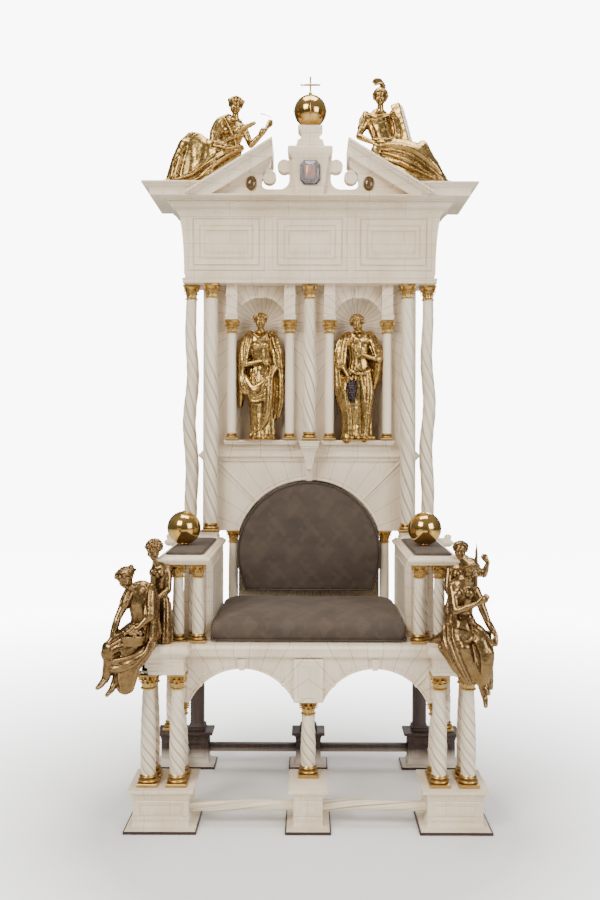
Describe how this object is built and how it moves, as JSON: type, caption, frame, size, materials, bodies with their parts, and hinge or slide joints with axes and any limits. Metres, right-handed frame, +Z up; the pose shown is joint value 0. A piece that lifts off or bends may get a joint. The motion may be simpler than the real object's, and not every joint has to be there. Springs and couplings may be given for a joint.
{
  "type": "ceremonial throne",
  "caption": "High-backed state throne with twisted columns, arched seat frame, broken pediment, orb, seated and standing gilt figures, and upholstered seat, back and arms.",
  "frame": {"origin": "middle of the underside of the front middle plinth", "axes": "+X to the viewer's right when facing the throne, +Y towards the back, +Z up"},
  "size_m": [1.3281, 0.9346, 2.7303],
  "materials": {
    "ivory": "wooden carcass sheathed in polished, slightly yellowed ivory plates",
    "tusk": "polished tusk, cream with darker lines along the twist, capitals and bases gilt",
    "gilt": "polished fire-gilt bronze, darker in the hollows",
    "cloth": "matt brown-grey velvet",
    "crystal": "clear faceted crystal in an ivory bezel",
    "topaz": "dark yellow-brown faceted stone in a gilt rim"
  },
  "bodies": {
    "root": {"front_left_plinth": "ivory", "front_middle_plinth": "ivory", "front_right_plinth": "ivory", "rear_left_plinth": "ivory", "rear_middle_plinth": "ivory", "rear_right_plinth": "ivory", "front_left_stretcher": "tusk", "front_right_stretcher": "tusk", "rear_left_stretcher": "tusk", "rear_right_stretcher": "tusk", "left_side_stretcher": "tusk", "right_side_stretcher": "tusk", "front_left_inner_column": "tusk", "front_left_outer_column": "tusk", "second_left_inner_column": "tusk", "second_left_outer_column": "tusk", "rear_left_outer_column": "tusk", "front_right_inner_column": "tusk", "front_right_outer_column": "tusk", "second_right_inner_column": "tusk", "second_right_outer_column": "tusk", "rear_right_outer_column": "tusk", "front_middle_column": "tusk", "front_left_block": "ivory", "rear_left_block": "ivory", "front_right_block": "ivory", "rear_right_block": "ivory", "seat_frame": "ivory", "left_arm": "ivory", "left_arm_inner_column": "tusk", "left_arm_outer_column": "tusk", "left_arm_pad": "cloth", "left_ball": "gilt", "right_arm": "ivory", "right_arm_inner_column": "tusk", "right_arm_outer_column": "tusk", "right_arm_pad": "cloth", "right_ball": "gilt", "seat_cushion": "cloth", "back_cushion": "cloth", "lower_back": "ivory", "upper_back": "ivory", "left_inner_tall_column": "tusk", "left_outer_tall_column": "tusk", "right_inner_tall_column": "tusk", "right_outer_tall_column": "tusk", "middle_back_column": "tusk", "canopy": "ivory", "pediment": "ivory", "orb_and_cross": "gilt", "crystal": "crystal", "left_cabochon": "topaz", "right_cabochon": "topaz", "left_pediment_figure": "gilt", "right_pediment_figure": "gilt", "left_niche_figure": "gilt", "right_niche_figure": "gilt", "front_left_group": "gilt", "front_right_group": "gilt"}
  },
  "joints": []
}
